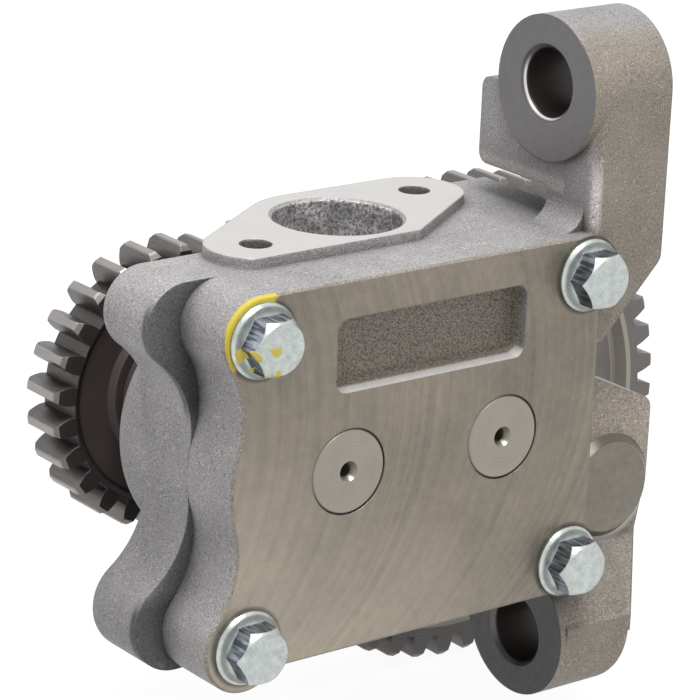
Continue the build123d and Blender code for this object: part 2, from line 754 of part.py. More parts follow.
    # Relief valve's bore: seat, cylinder and thread, with a spill hole below
    turn_valve(
        (PORT_X, 0),
        (PORT_X, VALVE_SEAT_R),
        (VALVE_SEAT_X, VALVE_SEAT_R),
        (VALVE_SEAT_X, VALVE_BORE_R + RUNNING),
        (PLUG_X, VALVE_BORE_R + RUNNING),
        (PLUG_X, PLUG_R + SEATED),
        (VALVE_BOSS_END, PLUG_R + SEATED),
        (VALVE_BOSS_END, 0),
        mode=Mode.SUBTRACT,
    )
    with BuildSketch(at_height(VALVE_Z)):
        with Locations((VALVE_SEAT_X + SPILL_R + PISTON_CROWN, VALVE_DEPTH)):
            Circle(SPILL_R)
    extrude(amount=-VALVE_BOSS_R - 1, mode=Mode.SUBTRACT)

housing.part.label = "housing"
export_step(housing.part, "parts/housing.step")


# Drive shaft: journal, seat for the drive gear, thread

SEAT_START = GEAR_FRONT - AXIAL
THREAD_START = GEAR_BACK - 1
SHAFT_END = GEAR_BACK + WASHER_T + NUT_H + NUT_OVERHANG
PUMP_KEY_FRONT = COVER_T + (PUMP_WIDTH - KEY_L) / 2
GEAR_KEY_FRONT = GEAR_FRONT + (GEAR_WIDTH - GEAR_KEY_L) / 2

with BuildPart() as drive_shaft:
    turn(
        DRIVE_SHAFT_AT,
        (0, CENTRE_HOLE_DEPTH),
        (CENTRE_HOLE_R, CENTRE_HOLE_DEPTH - CENTRE_HOLE_R),
        (CENTRE_HOLE_R, CENTRE_HOLE_R),
        (CENTRE_MOUTH_R, 0),
        (SHAFT_R - FACE_BEVEL, 0),
        (SHAFT_R, FACE_BEVEL),
        (SHAFT_R, SEAT_START - FACE_BEVEL),
        (SHAFT_R - FACE_BEVEL, SEAT_START),
        (SEAT_R, SEAT_START),
        (SEAT_R, THREAD_START),
        (THREAD_R, THREAD_START),
        (THREAD_R, SHAFT_END - FACE_BEVEL),
        (THREAD_R - FACE_BEVEL, SHAFT_END),
        (0, SHAFT_END),
    )
    with BuildSketch(at_depth(PUMP_KEY_FRONT)):
        with Locations((DRIVE_X, SHAFT_R)):
            Rectangle(KEY_W, KEY_H)
    extrude(amount=-KEY_L, mode=Mode.SUBTRACT)
    with BuildSketch(at_depth(GEAR_KEY_FRONT)):
        with Locations((DRIVE_X, SEAT_R)):
            Rectangle(KEY_W, KEY_H)
    extrude(amount=-GEAR_KEY_L, mode=Mode.SUBTRACT)

drive_shaft.part.label = "drive_shaft"
export_step(drive_shaft.part, "parts/drive_shaft.step")


# Driven shaft, its far end blind in the housing

with BuildPart() as driven_shaft:
    driven_end = CHAMBER_BACK + DRIVEN_BUSH_LENGTH - AXIAL
    turn(
        DRIVEN_SHAFT_AT,
        (0, CENTRE_HOLE_DEPTH),
        (CENTRE_HOLE_R, CENTRE_HOLE_DEPTH - CENTRE_HOLE_R),
        (CENTRE_HOLE_R, CENTRE_HOLE_R),
        (CENTRE_MOUTH_R, 0),
        (SHAFT_R - FACE_BEVEL, 0),
        (SHAFT_R, FACE_BEVEL),
        (SHAFT_R, driven_end - FACE_BEVEL),
        (SHAFT_R - FACE_BEVEL, driven_end),
        (0, driven_end),
    )

driven_shaft.part.label = "driven_shaft"
export_step(driven_shaft.part, "parts/driven_shaft.step")


# Pumping gears

with BuildPart() as pump_drive_gear:
    with BuildSketch(at_depth(COVER_T + AXIAL)) as teeth:
        with Locations((DRIVE_X, 0)):
            add(gear_face(PUMP_TEETH, PUMP_MODULE, PUMP_ANGLE, PUMP_THINNING, 0))
            Circle(SHAFT_R + SEATED, mode=Mode.SUBTRACT)
        with Locations((DRIVE_X, SHAFT_R)):
            Rectangle(KEY_W + 2 * SEATED, KEY_H + 2 * SEATED, mode=Mode.SUBTRACT)
    extrude(amount=-PUMP_WIDTH)

with BuildPart() as pump_driven_gear:
    with BuildSketch(at_depth(COVER_T + AXIAL)):
        with Locations((DRIVEN_X, 0)):
            half_pitch = 180 / PUMP_TEETH
            add(gear_face(PUMP_TEETH, PUMP_MODULE, PUMP_ANGLE, PUMP_THINNING, 180 + half_pitch))
            Circle(SHAFT_R + SEATED, mode=Mode.SUBTRACT)
    extrude(amount=-PUMP_WIDTH)

with BuildPart() as pump_gear_key:
    with BuildSketch(at_depth(PUMP_KEY_FRONT + SEATED)):
        with Locations((DRIVE_X, SHAFT_R)):
            Rectangle(KEY_W, KEY_H - 2 * SEATED)
    extrude(amount=2 * SEATED - KEY_L)

pump_drive_gear.part.label = "pump_drive_gear"
export_step(pump_drive_gear.part, "parts/pump_drive_gear.step")
pump_driven_gear.part.label = "pump_driven_gear"
export_step(pump_driven_gear.part, "parts/pump_driven_gear.step")
pump_gear_key.part.label = "pump_gear_key"
export_step(pump_gear_key.part, "parts/pump_gear_key.step")


# Drive gear behind the pump

with BuildPart() as drive_gear:
    with BuildSketch(at_depth(GEAR_FRONT)):
        with Locations((DRIVE_X, 0)):
            add(gear_face(DRIVE_TEETH, GEAR_MODULE, GEAR_ANGLE, GEAR_THINNING, DRIVE_PHASE))
            Circle(SEAT_R + SEATED, mode=Mode.SUBTRACT)
        with Locations((DRIVE_X, SEAT_R)):
            Rectangle(KEY_W + 2 * SEATED, KEY_H + 2 * SEATED, mode=Mode.SUBTRACT)
    extrude(amount=-GEAR_WIDTH)
    tooth_ends(DRIVE_SHAFT_AT, DRIVE_TIP_R)
    for front, into in ((GEAR_FRONT, 1), (GEAR_BACK, -1)):
        turn(
            DRIVE_SHAFT_AT,
            (DRIVE_HUB_R, front),
            (DRIVE_FACE_R, front),
            (DRIVE_FACE_R - DRIVE_FACE_DEPTH, front + into * DRIVE_FACE_DEPTH),
            (DRIVE_HUB_R + DRIVE_FACE_DEPTH, front + into * DRIVE_FACE_DEPTH),
            mode=Mode.SUBTRACT,
        )

with BuildPart() as drive_gear_key:
    with BuildSketch(at_depth(GEAR_KEY_FRONT + SEATED)):
        with Locations((DRIVE_X, SEAT_R)):
            Rectangle(KEY_W, KEY_H - 2 * SEATED)
    extrude(amount=2 * SEATED - GEAR_KEY_L)

with BuildPart() as drive_gear_washer:
    turn(
        DRIVE_SHAFT_AT,
        (THREAD_R + AXIAL, GEAR_BACK),
        (WASHER_R, GEAR_BACK),
        (WASHER_R, GEAR_BACK + WASHER_T),
        (THREAD_R + AXIAL, GEAR_BACK + WASHER_T),
    )

with BuildPart() as drive_gear_nut:
    with BuildSketch(at_depth(GEAR_BACK + WASHER_T)):
        with Locations((DRIVE_X, 0)):
            RegularPolygon(NUT_AF / 2, 6, major_radius=False)
            Circle(THREAD_R + SEATED, mode=Mode.SUBTRACT)
    extrude(amount=-NUT_H)
    hexagon_bevel(DRIVE_SHAFT_AT, NUT_AF, GEAR_BACK + WASHER_T, GEAR_BACK + WASHER_T + NUT_H)

drive_gear.part.label = "drive_gear"
export_step(drive_gear.part, "parts/drive_gear.step")
drive_gear_key.part.label = "drive_gear_key"
export_step(drive_gear_key.part, "parts/drive_gear_key.step")
drive_gear_washer.part.label = "drive_gear_washer"
export_step(drive_gear_washer.part, "parts/drive_gear_washer.step")
drive_gear_nut.part.label = "drive_gear_nut"
export_step(drive_gear_nut.part, "parts/drive_gear_nut.step")


# Intermediate gear with its bush

with BuildPart() as intermediate_gear:
    with BuildSketch(at_depth(GEAR_FRONT)):
        with Locations(IDLER_AT):
            add(gear_face(IDLER_TEETH, GEAR_MODULE, GEAR_ANGLE, GEAR_THINNING, IDLER_PHASE))
            Circle(AXLE_R + IDLER_BUSH_WALL + SEATED, mode=Mode.SUBTRACT)
    extrude(amount=-GEAR_WIDTH)
    tooth_ends(IDLER_AT, IDLER_TIP_R)
    for front, into in ((GEAR_FRONT, 1), (GEAR_BACK, -1)):
        turn(
            IDLER_AT,
            (IDLER_HUB_R, front),
            (IDLER_RIM_R, front),
            (IDLER_RIM_R - IDLER_RIM_BEVEL, front + into * IDLER_WEB_DEPTH),
            (IDLER_HUB_R + IDLER_RIM_BEVEL, front + into * IDLER_WEB_DEPTH),
            mode=Mode.SUBTRACT,
        )

with BuildPart() as intermediate_bush:
    turn(
        IDLER_AT,
        (AXLE_R + RUNNING, GEAR_FRONT),
        (AXLE_R + IDLER_BUSH_WALL, GEAR_FRONT),
        (AXLE_R + IDLER_BUSH_WALL, GEAR_BACK),
        (AXLE_R + RUNNING, GEAR_BACK),
    )

# The axle's collar stands against the boss, and the gear runs against the collar
with BuildPart() as intermediate_axle:
    turn(
        IDLER_AT,
        (0, AXLE_BOSS_BACK - AXLE_SHANK_LENGTH),
        (AXLE_SHANK_R - FACE_BEVEL, AXLE_BOSS_BACK - AXLE_SHANK_LENGTH),
        (AXLE_SHANK_R, AXLE_BOSS_BACK - AXLE_SHANK_LENGTH + FACE_BEVEL),
        (AXLE_SHANK_R, AXLE_BOSS_BACK),
        (AXLE_COLLAR_R, AXLE_BOSS_BACK),
        (AXLE_COLLAR_R, GEAR_FRONT - AXIAL),
        (AXLE_R, GEAR_FRONT - AXIAL),
        (AXLE_R, GEAR_BACK + AXIAL),
        (SCREW_R + SEATED, GEAR_BACK + AXIAL),
        (SCREW_R + SEATED, GEAR_BACK - AXLE_SCREW_LENGTH),
        (0, GEAR_BACK - AXLE_SCREW_LENGTH),
    )

with BuildPart() as axle_thrust_washer:
    turn(
        IDLER_AT,
        (SCREW_HOLE_R, GEAR_BACK + AXIAL),
        (THRUST_R, GEAR_BACK + AXIAL),
        (THRUST_R, GEAR_BACK + AXIAL + THRUST_T),
        (SCREW_HOLE_R, GEAR_BACK + AXIAL + THRUST_T),
    )

intermediate_gear.part.label = "intermediate_gear"
export_step(intermediate_gear.part, "parts/intermediate_gear.step")
intermediate_bush.part.label = "intermediate_bush"
export_step(intermediate_bush.part, "parts/intermediate_bush.step")
intermediate_axle.part.label = "intermediate_axle"
export_step(intermediate_axle.part, "parts/intermediate_axle.step")
axle_thrust_washer.part.label = "axle_thrust_washer"
export_step(axle_thrust_washer.part, "parts/axle_thrust_washer.step")


# Screws: flanged hexagon heads

with BuildPart() as cover_screws:
    for x, z in SCREWS:
        flanged_screw(Vector(x, z), 0, 1, SCREW_LENGTH)

with BuildPart() as axle_screw:
    flanged_screw(IDLER_AT, GEAR_BACK + AXIAL + THRUST_T, -1, AXLE_SCREW_LENGTH)

with BuildPart() as locating_dowels:
    for x, z in DOWEL_AT:
        turn(
            Vector(x, z),
            (0, COVER_T - DOWEL_LENGTH / 2),
            (DOWEL_R - FACE_BEVEL, COVER_T - DOWEL_LENGTH / 2),
            (DOWEL_R, COVER_T - DOWEL_LENGTH / 2 + FACE_BEVEL),
            (DOWEL_R, COVER_T + DOWEL_LENGTH / 2 - FACE_BEVEL),
            (DOWEL_R - FACE_BEVEL, COVER_T + DOWEL_LENGTH / 2),
            (0, COVER_T + DOWEL_LENGTH / 2),
        )

cover_screws.part.label = "cover_screws"
export_step(cover_screws.part, "parts/cover_screws.step")
axle_screw.part.label = "axle_screw"
export_step(axle_screw.part, "parts/axle_screw.step")
locating_dowels.part.label = "locating_dowels"
export_step(locating_dowels.part, "parts/locating_dowels.step")


# Plain bearings in the housing

with BuildPart() as drive_shaft_bush:
    turn(
        DRIVE_SHAFT_AT,
        (SHAFT_R + RUNNING, CHAMBER_BACK),
        (SHAFT_R + BUSH_WALL, CHAMBER_BACK),
        (SHAFT_R + BUSH_WALL, CHAMBER_BACK + DRIVE_BUSH_LENGTH),
        (SHAFT_R + RUNNING, CHAMBER_BACK + DRIVE_BUSH_LENGTH),
    )

with BuildPart() as driven_shaft_bush:
    turn(
        DRIVEN_SHAFT_AT,
        (SHAFT_R + RUNNING, CHAMBER_BACK),
        (SHAFT_R + BUSH_WALL, CHAMBER_BACK),
        (SHAFT_R + BUSH_WALL, CHAMBER_BACK + DRIVEN_BUSH_LENGTH),
        (SHAFT_R + RUNNING, CHAMBER_BACK + DRIVEN_BUSH_LENGTH),
    )

drive_shaft_bush.part.label = "drive_shaft_bush"
export_step(drive_shaft_bush.part, "parts/drive_shaft_bush.step")
driven_shaft_bush.part.label = "driven_shaft_bush"
export_step(driven_shaft_bush.part, "parts/driven_shaft_bush.step")


# Relief valve

with BuildPart() as relief_piston:
    turn_valve(
        (PISTON_X, 0),
        (PISTON_X, VALVE_BORE_R - PISTON_CROWN / 2),
        (PISTON_X + PISTON_CROWN / 2, VALVE_BORE_R),
        (PISTON_END, VALVE_BORE_R),
        (PISTON_END, PISTON_SKIRT_R),
        (PISTON_X + PISTON_CROWN, PISTON_SKIRT_R),
        (PISTON_X + PISTON_CROWN, 0),
    )

SPRING_START = PISTON_X + PISTON_CROWN + SPRING_WIRE_R + SEATED
SPRING_END = PLUG_X - SPRING_WIRE_R - SEATED
SPRING_R = PISTON_SKIRT_R - SPRING_WIRE_R - AXIAL

with BuildPart() as relief_spring:
    spring_centre = (-COVER_TO_MOUNT + SPRING_START, FACE_Y + VALVE_DEPTH, -COVER_DROP + VALVE_Z)
    with BuildLine() as coil:
        length = SPRING_END - SPRING_START
        Helix(length / SPRING_TURNS, length, SPRING_R, center=spring_centre, direction=(1, 0, 0))
    with BuildSketch(Plane(origin=coil.line @ 0, z_dir=coil.line % 0)):
        Circle(SPRING_WIRE_R)
    sweep()

with BuildPart() as relief_plug:
    turn_valve(
        (PLUG_X, 0),
        (PLUG_X, PLUG_R - FACE_BEVEL),
        (PLUG_X + FACE_BEVEL, PLUG_R),
        (VALVE_BOSS_END + SEAL_T, PLUG_R),
        (VALVE_BOSS_END + SEAL_T, PLUG_RIM_R),
        (VALVE_BOSS_END + SEAL_T + PLUG_RIM_H, PLUG_RIM_R),
        (VALVE_BOSS_END + SEAL_T + PLUG_RIM_H, 0),
    )
    with BuildSketch(at_side(VALVE_BOSS_END + SEAL_T + PLUG_RIM_H)):
        with Locations((VALVE_DEPTH, VALVE_Z)):
            RegularPolygon(PLUG_AF / 2, 6, major_radius=False)
    extrude(amount=PLUG_HEAD_H)

with BuildPart() as relief_seal:
    turn_valve(
        (VALVE_BOSS_END, PLUG_R + AXIAL),
        (VALVE_BOSS_END, PLUG_RIM_R),
        (VALVE_BOSS_END + SEAL_T, PLUG_RIM_R),
        (VALVE_BOSS_END + SEAL_T, PLUG_R + AXIAL),
    )

relief_piston.part.label = "relief_piston"
export_step(relief_piston.part, "parts/relief_piston.step")
relief_spring.part.label = "relief_spring"
export_step(relief_spring.part, "parts/relief_spring.step")
relief_plug.part.label = "relief_plug"
export_step(relief_plug.part, "parts/relief_plug.step")
relief_seal.part.label = "relief_seal"
export_step(relief_seal.part, "parts/relief_seal.step")
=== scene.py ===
import bpy
from mathutils import Matrix, Vector


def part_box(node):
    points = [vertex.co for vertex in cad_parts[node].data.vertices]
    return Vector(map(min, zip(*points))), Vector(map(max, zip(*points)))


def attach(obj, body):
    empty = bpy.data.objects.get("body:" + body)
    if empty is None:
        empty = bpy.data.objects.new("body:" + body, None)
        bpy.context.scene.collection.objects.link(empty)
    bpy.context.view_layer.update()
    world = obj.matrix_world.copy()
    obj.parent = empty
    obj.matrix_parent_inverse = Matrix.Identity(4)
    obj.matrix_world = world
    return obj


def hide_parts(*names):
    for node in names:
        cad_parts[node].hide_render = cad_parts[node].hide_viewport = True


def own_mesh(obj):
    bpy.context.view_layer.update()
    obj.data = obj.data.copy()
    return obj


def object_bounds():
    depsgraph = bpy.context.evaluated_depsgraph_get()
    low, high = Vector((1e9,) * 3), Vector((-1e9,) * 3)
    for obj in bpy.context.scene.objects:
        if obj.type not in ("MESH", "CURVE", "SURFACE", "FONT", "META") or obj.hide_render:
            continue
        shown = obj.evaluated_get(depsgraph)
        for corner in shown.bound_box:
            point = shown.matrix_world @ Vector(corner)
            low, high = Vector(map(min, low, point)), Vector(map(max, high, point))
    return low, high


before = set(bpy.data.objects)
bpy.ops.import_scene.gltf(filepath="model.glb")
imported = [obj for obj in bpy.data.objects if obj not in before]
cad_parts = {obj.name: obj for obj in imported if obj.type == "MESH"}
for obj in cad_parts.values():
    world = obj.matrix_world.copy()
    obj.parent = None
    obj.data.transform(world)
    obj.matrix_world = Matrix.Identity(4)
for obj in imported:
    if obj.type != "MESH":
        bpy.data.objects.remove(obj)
CAD_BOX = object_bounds()

bl_info = {
    "name": "Oil Pump Looks",
    "version": (1, 0, 0),
    "blender": (4, 5, 0),
    "location": "View3D > Sidebar > Oil Pump",
    "description": "Finishes, stage and camera for a geared engine oil pump",
    "category": "Object",
}

MM = 0.001
# How close to a plane counts as on it
NEAR = 0.4 * MM
WHITE = (1, 1, 1, 1)


def middle(node):
    """Centre of a CAD node's box, in metres."""
    low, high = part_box(node)
    return (low + high) / 2


# The cover: Y of its milled face, from which depths run back, and its places.
# A pair of lengths, here and below, is a soft border from its start to its end.
COVER_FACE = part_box("drive_shaft")[0].y
COVER_CENTRE = Vector((-74 * MM, COVER_FACE, -9.5 * MM))
ARMS_FROM = 12 * MM
UPPER_ARM_UNDER = 46 * MM
CROWN_FROM = 50 * MM
EAR_Z = 72.25 * MM
EAR_LENGTH = 25 * MM
EAR_HOLE_R = 8.6 * MM
EAR_MOUTH = 1.4 * MM
PAD_R = 12 * MM
PAD_BEVEL = 0.2 * MM
WINDOW_DEPTH = 5 * MM
WINDOW_ROUGHNESS = 0.6 * MM
WINDOW_WALL_FROM = (1.4 * MM, 2 * MM)
WINDOW_LEDGE = 3.4 * MM
WINDOW_LOW = COVER_CENTRE + Vector((-28 * MM, 0, 18 * MM))
WINDOW_HIGH = COVER_CENTRE + Vector((32 * MM, 0, 40 * MM))
BOSS_FLAT_LEFT = (-20 * MM, -14 * MM)
BOSS_FLAT_RISE = 8 * MM
BOSS_FLAT_FADE = (28 * MM, 8 * MM)
HEM_START = (-1 * MM, 0)
HEM_FADE = (4 * MM, 2 * MM)
FOOT_FADE = (12 * MM, 5 * MM)
MILL_TRACK_R = 78 * MM
MILL_TRACK_Z = COVER_CENTRE.z + 16 * MM

# The cover's screws, from the middle of its face in millimetres
SCREW_PLACES = ((-48.4, 37), (50, 37.6), (-50, -38.4), (48.4, -37.1))
SCREWS = [COVER_CENTRE + Vector((x * MM, 0, z * MM)) for x, z in SCREW_PLACES]
PAINTED_SCREW = SCREWS[0]
SCREW_FLANGE_R = 9.2 * MM
SCREW_FLANGE_H = 2.2 * MM
DAB_R = 10.8 * MM
SPOTS_R = 13 * MM

# The housing: its ports, the duct between them and the hub behind the drive gear
PORT_AXIS = COVER_CENTRE + Vector((0.75 * MM, 37.4 * MM, 0))
PORT_FLANGE_R = 47 * MM
PORT_FLANGE_EDGE = 4 * MM
DUCT_R = 16.3 * MM
HUB_R = 22.5 * MM
HUB_END = 52.5 * MM
# Where the painted shade towards the bottom of the housing fades in
BOTTOM_SHADE_FADE = (12 * MM, -50 * MM)

# Painted shade in the hollows before the left lugs
HOLLOW_SIDE = (-34 * MM, -40 * MM)
UPPER_HOLLOW = (11 * MM, 18 * MM)
LOWER_HOLLOW = (-27 * MM, -33 * MM)
HOLLOW_FRONT = (15 * MM, 20 * MM)
HOLLOW_BACK = (21 * MM, 28 * MM)

# What turns and slides
DRIVE_AXIS = middle("drive_shaft")
DRIVEN_AXIS = middle("driven_shaft")
IDLER_AXIS = middle("intermediate_axle")
# Radius within which the drive gear's front and hub get painted shade
FACE_SHADE_R = 29 * MM
IDLER_RIM_R = 57 * MM
SHAFT_R = 10.75 * MM
CENTRE_HOLE_R = 1.4 * MM

# The stage
FLOOR_HALF = 4.0
FLOOR_GLOW = 0.93
SHADOW_GREY = (0.12, 0.12, 0.12, 1)
LAMP_OFFSET = Vector((-0.3, -0.45, 2))
CAMERA_AT = Vector((-0.57132, -0.62322, 0.27441))
CAMERA_RIGHT = Vector((0.79430, -0.60622, 0.04010))
CAMERA_UP = Vector((0.15988, 0.27225, 0.94885))
CAMERA_BACK = Vector((-0.58612, -0.74726, 0.31316))


class Link:
    """A socket in a finish, with the arithmetic that adds Math nodes."""

    def __init__(self, finish, socket):
        self.finish = finish
        self.socket = socket

    def math(self, operation, *values):
        """A Math node on these values."""
        return self.finish.node("Math", {"operation": operation}, values)

    def __add__(self, other):
        return self.math("ADD", self, other)

    def __radd__(self, other):
        return self.math("ADD", other, self)

    def __sub__(self, other):
        return self.math("SUBTRACT", self, other)

    def __rsub__(self, other):
        return self.math("SUBTRACT", other, self)

    def __mul__(self, other):
        return self.math("MULTIPLY", self, other)

    def __rmul__(self, other):
        return self.math("MULTIPLY", other, self)

    def __neg__(self):
        return self.math("MULTIPLY", self, -1)

    def __abs__(self):
        return self.math("ABSOLUTE", self)

    def __lt__(self, other):
        return self.math("LESS_THAN", self, other)

    def __gt__(self, other):
        return self.math("GREATER_THAN", self, other)

    def least(self, other):
        return self.math("MINIMUM", self, other)

    def most(self, other):
        return self.math("MAXIMUM", self, other)

    def root(self):
        """Square root, and 0 below 0."""
        return self.math("SQRT", self.most(0))


class Finish:
    """A procedural material, built up node by node in the row frame."""

    def __init__(self, name, tree=None):
        self.material = None
        if tree is None:
            self.material = bpy.data.materials.new(name)
            self.material.use_nodes = True
            tree = self.material.node_tree
        self.tree = tree
        tree.nodes.clear()
        self.at = self.node("TexCoord", output="Object")
        self.x, self.y, self.z = self.parts(self.at)
        self.nx, self.ny, self.nz = self.parts(self.node("TexCoord", output="Normal"))

    def node(self, kind, settings=None, values=(), output=0):
        """Adds one node: its settings first, then the values or links of its sockets."""
        made = self.tree.nodes.new("ShaderNode" + kind)
        for name, value in (settings or {}).items():
            setattr(made, name, value)
        named = values.items() if isinstance(values, dict) else enumerate(values)
        for name, value in named:
            if isinstance(value, Link):
                self.tree.links.new(value.socket, made.inputs[name])
            else:
                made.inputs[name].default_value = value
        return Link(self, made.outputs[output])

    def parts(self, vector):
        """The three numbers of a vector."""
        split = self.node("SeparateXYZ", values=[vector]).socket.node
        return [Link(self, socket) for socket in split.outputs]

    def blend(self, factor, first, second, how="MIX"):
        """Mixes two colours, each a link or three numbers."""
        colours = [c if isinstance(c, Link) else (*c, 1) for c in (first, second)]
        settings = {"data_type": "RGBA", "blend_type": how}
        return self.node("Mix", settings, {0: factor, 6: colours[0], 7: colours[1]}, output=2)

    def shade(self, colour, amount):
        """A colour made lighter or darker by a factor link."""
        grey = self.node("CombineColor", values=[amount, amount, amount])
        return self.blend(1, colour, grey, "MULTIPLY")

    def between(self, value, low, high, start=0, end=1):
        """A smooth step from start to end as value goes from low to high."""
        settings = {"interpolation_type": "SMOOTHSTEP"}
        return self.node("MapRange", settings, [value, low, high, start, end])

    def stretch(self, factors):
        """The place, scaled along each axis."""
        return self.node("VectorMath", {"operation": "MULTIPLY"}, [self.at, factors])

    def noise(self, size, detail=2.0, rough=0.5, place=None):
        """Noise from 0 to 1 with features about size metres across."""
        values = {
            "Vector": self.at if place is None else place,
            "Scale": 1 / size,
            "Detail": detail,
            "Roughness": rough,
        }
        return self.node("TexNoise", values=values)

    def streaks(self, place, size):
        """Noise from 0 to 1 along one value, such as a distance in metres."""
        values = {"W": place, "Scale": 1 / size, "Detail": 2.0}
        return self.node("TexNoise", {"noise_dimensions": "1D"}, values)

    def from_axis(self, centre, along):
        """Distance from an axis through centre, along "x", "y" or "z"."""
        offsets = {"x": self.x - centre[0], "y": self.y - centre[1], "z": self.z - centre[2]}
        first, second = [offsets[name] for name in "xyz" if name != along]
        return (first * first + second * second).root()

    def from_screws(self):
        """Distance from the axis of the nearest cover screw."""
        gaps = [self.from_axis(place, "y") for place in SCREWS]
        return gaps[0].least(gaps[1]).least(gaps[2]).least(gaps[3])

    def occlusion_shade(self, reach, darkest):
        """Painted shade: falls from 1 on open faces to darkest in hollows narrower than reach
        metres.
        """
        settings = {"samples": 6}
        open_sky = self.node("AmbientOcclusion", settings, {"Distance": reach}, output=1)
        return self.between(open_sky, 0.35, 0.92, darkest, 1)

    def bump(self, height, depth, under):
        """A bump of that depth in metres over other normals."""
        values = {"Height": height, "Distance": depth, "Strength": 1.0, "Normal": under}
        return self.node("Bump", values=values)

    def rounded(self, radius):
        """Normals that round every edge off by that radius in metres."""
        return self.node("Bevel", {"samples": 4}, {"Radius": radius})

    def surface(self, **sockets):
        """The shader and the output, with the sockets by name, _ standing for a blank."""
        values = {name.replace("_", " "): value for name, value in sockets.items()}
        return self.close(self.node("BsdfPrincipled", values=values))

    def close(self, shader, kind="Material"):
        """Links a shader to the tree's output."""
        out = self.tree.nodes.new("ShaderNodeOutput" + kind)
        self.tree.links.new(shader.socket, out.inputs["Surface"])
        return self.material

    def seen(self):
        """1 for the rays that see the backdrop: from the camera, or by way of a reflection."""
        path = self.node("LightPath").socket.node
        names = ("Is Camera Ray", "Is Glossy Ray", "Is Transmission Ray")
        camera, glossy, through = [Link(self, path.outputs[name]) for name in names]
        return camera.most(glossy).most(through)


def dress(material, *nodes):
    """Puts a material in every slot of these CAD nodes."""
    for name in nodes:
        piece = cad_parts[name]
        if not piece.material_slots:
            piece.data.materials.append(material)
        for place in piece.material_slots:
            place.material = material


def colour(name, text, default):
    """A colour that the user may change."""
    return bpy.props.FloatVectorProperty(
        name=name, description=text, default=default, subtype="COLOR", size=3, min=0, max=1
    )


def length(name, text, default):
    """A size in metres that the user may change."""
    return bpy.props.FloatProperty(
        name=name, description=text, default=default, min=0, unit="LENGTH", precision=5
    )


class CastingLook(bpy.types.PropertyGroup):
    """Grey iron castings and their milled faces."""

    # Warmer skin for front-facing faces, a painted warm front light
    front_lit_skin: colour("Cover Skin", "Cast skin of the arms' fronts", (0.25, 0.22, 0.185))
    housing_skin: colour("Housing Skin", "Cast skin of the housing", (0.29, 0.28, 0.28))
    milled: colour("Milled", "Face-milled iron of the cover", (0.3, 0.275, 0.23))
    warm_milled: colour("Warm Milled", "Rubbed places of the cover's face", (0.31, 0.262, 0.205))
    # Milled port faces, also the colour of painted highlights on the window ledge and below the
    # axle boss
    pale_milled_and_highlight: colour("Pale Milled", "Milled iron of the port faces", (0.49, 0.475, 0.46))
    # Dark as a painted reflection on the ground ends
    ear_face_dark_reflection: colour("Ear Face", "Ground end faces of the ears", (0.14, 0.135, 0.135))
    # Colour of the bores, also used as painted shade on the hub behind the drive gear
    bore_and_hub_shade: colour("Bore", "Drilled and bored iron", (0.06, 0.054, 0.05))
    paint: colour("Paint", "Inspector's paint dab", (0.5, 0.4, 0.04))
    # Colour of the painted highlights on the upper arm's edges
    edge_highlight: colour("Bright Edge", "Painted highlights on the upper arm's edges", (0.6, 0.54, 0.52))
    grain: length("Grain", "Size of the sand grains on a cast skin", 0.7 * MM)
    grain_depth: length("Grain Depth", "Depth of the cast skin's grain", 0.16 * MM)
    edge: length("Edge", "Rounding of a cast edge", 0.8 * MM)
    # Reach of the painted shade in hollows
    occlusion_shade_reach: length("Occlusion Shade Reach", "Width of the hollows that look dark", 20 * MM)


class SteelLook(bpy.types.PropertyGroup):
    """Gears, shafts and fasteners."""

    gear: colour("Gear", "Hobbed tooth steel", (0.2, 0.188, 0.18))
    # Near-black: painted shade on the front of the drive gear
    gear_face_shade: colour("Gear Face", "Blackened end face of a gear", (0.072, 0.054, 0.05))
    shaft: colour("Shaft", "Faced shaft ends", (0.33, 0.305, 0.262))
    ground: colour("Ground", "Ground pins and washers", (0.4, 0.4, 0.41))
    dark: colour("Dark", "Phosphated nuts and plugs", (0.12, 0.115, 0.115))
    zinc: colour("Zinc", "Zinc plated screws", (0.52, 0.56, 0.54))
    # Darker head sides: drawn streaks on a painted reflection
    drawn_and_shaded_zinc: colour("Drawn Zinc", "Drawn sides of the screw heads", (0.3, 0.33, 0.39))
    bronze: colour("Bronze", "Bearing bushes", (0.5, 0.33, 0.14))
    copper: colour("Copper", "Soft sealing ring", (0.62, 0.3, 0.17))


class StageLook(bpy.types.PropertyGroup):
    """Floor, light and camera."""

    floor: colour("Floor", "Pale floor", (0.6, 0.6, 0.6))
    ambient: bpy.props.FloatProperty(
        name="Ambient", description="Light from all round", default=0.55, min=0
    )
    key: bpy.props.FloatProperty(
        name="Key", description="Power of the key light", default=62, min=0, unit="POWER"
    )
    lens: bpy.props.FloatProperty(
        name="Lens", description="Focal length in millimetres", default=178.8, min=1
    )


def cast_skin(finish, look, tint):
    """Colour, roughness and bump height of shot-blasted cast iron, with painted shade in its
    hollows.
    """
    grain = look.grain
    sand = finish.noise(grain, detail=3, rough=0.7)
    fine = finish.noise(grain * 0.45, rough=0.6)
    broad = finish.noise(9 * MM)
    blotch = finish.noise(26 * MM, detail=3)
    patch = finish.between(finish.noise(6 * MM, detail=3), 0.4, 0.62, 0.35, 1.3)
    height = sand * 0.6 + fine * 0.4 + broad * 0.8
    sparkle = finish.between(fine * 0.6 + sand * 0.4, 0.55, 0.64) * patch
    pit = finish.between(sand * 0.5 + fine * 0.5, 0.46, 0.34)
    speck = finish.between(fine * 0.7 + sand * 0.3, 0.36, 0.62)
    tone = 0.38 + broad * 0.3 + blotch * 0.4 + speck * 0.42 - pit * 0.35 + sparkle * 0.55
    # Painted shade darkens the skin in hollows
    skin = finish.shade(tint, tone * finish.occlusion_shade(look.occlusion_shade_reach, 0.25))
    roughness = 0.6 - sparkle * 0.25
    return skin, roughness, height


